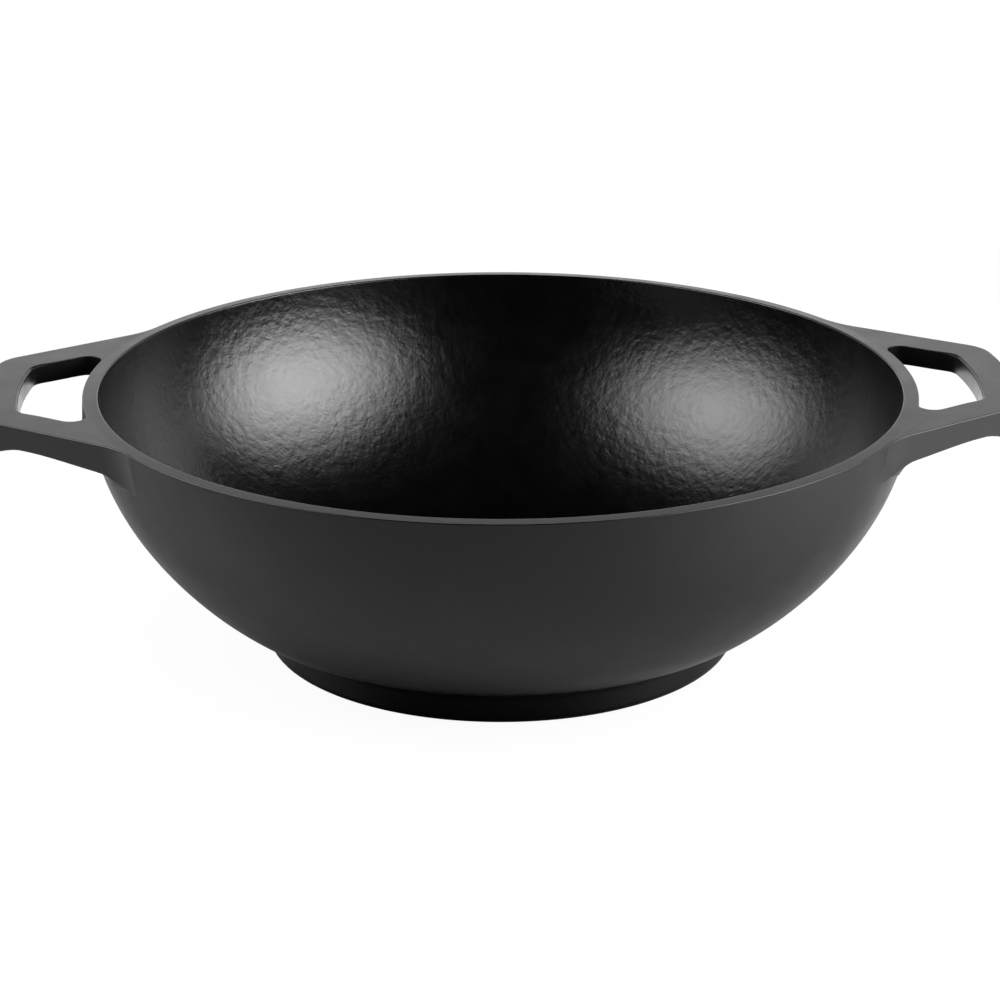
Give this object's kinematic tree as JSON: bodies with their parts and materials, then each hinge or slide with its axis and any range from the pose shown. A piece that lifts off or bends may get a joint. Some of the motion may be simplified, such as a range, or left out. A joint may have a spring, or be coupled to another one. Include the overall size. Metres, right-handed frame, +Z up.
{
  "type": "wok",
  "caption": "Cast iron wok with a round bowl, a low foot ring, a flat rim and a loop handle level with the rim on each side, for frying on a stove.",
  "frame": {"origin": "centre of the foot ring, on the table it stands on", "axes": "+Z up along the bowl's axis, +X through the right handle, +Y to the back"},
  "size_m": [0.45, 0.361, 0.1175],
  "materials": {
    "cast_iron": "seasoned black, satin, with a fine cast grain and a pebbled inside"
  },
  "bodies": {
    "root": {"bowl_wall": "cast_iron", "bowl_floor": "cast_iron", "rim_band": "cast_iron", "foot_ring": "cast_iron", "right_handle": "cast_iron", "left_handle": "cast_iron"}
  },
  "joints": []
}
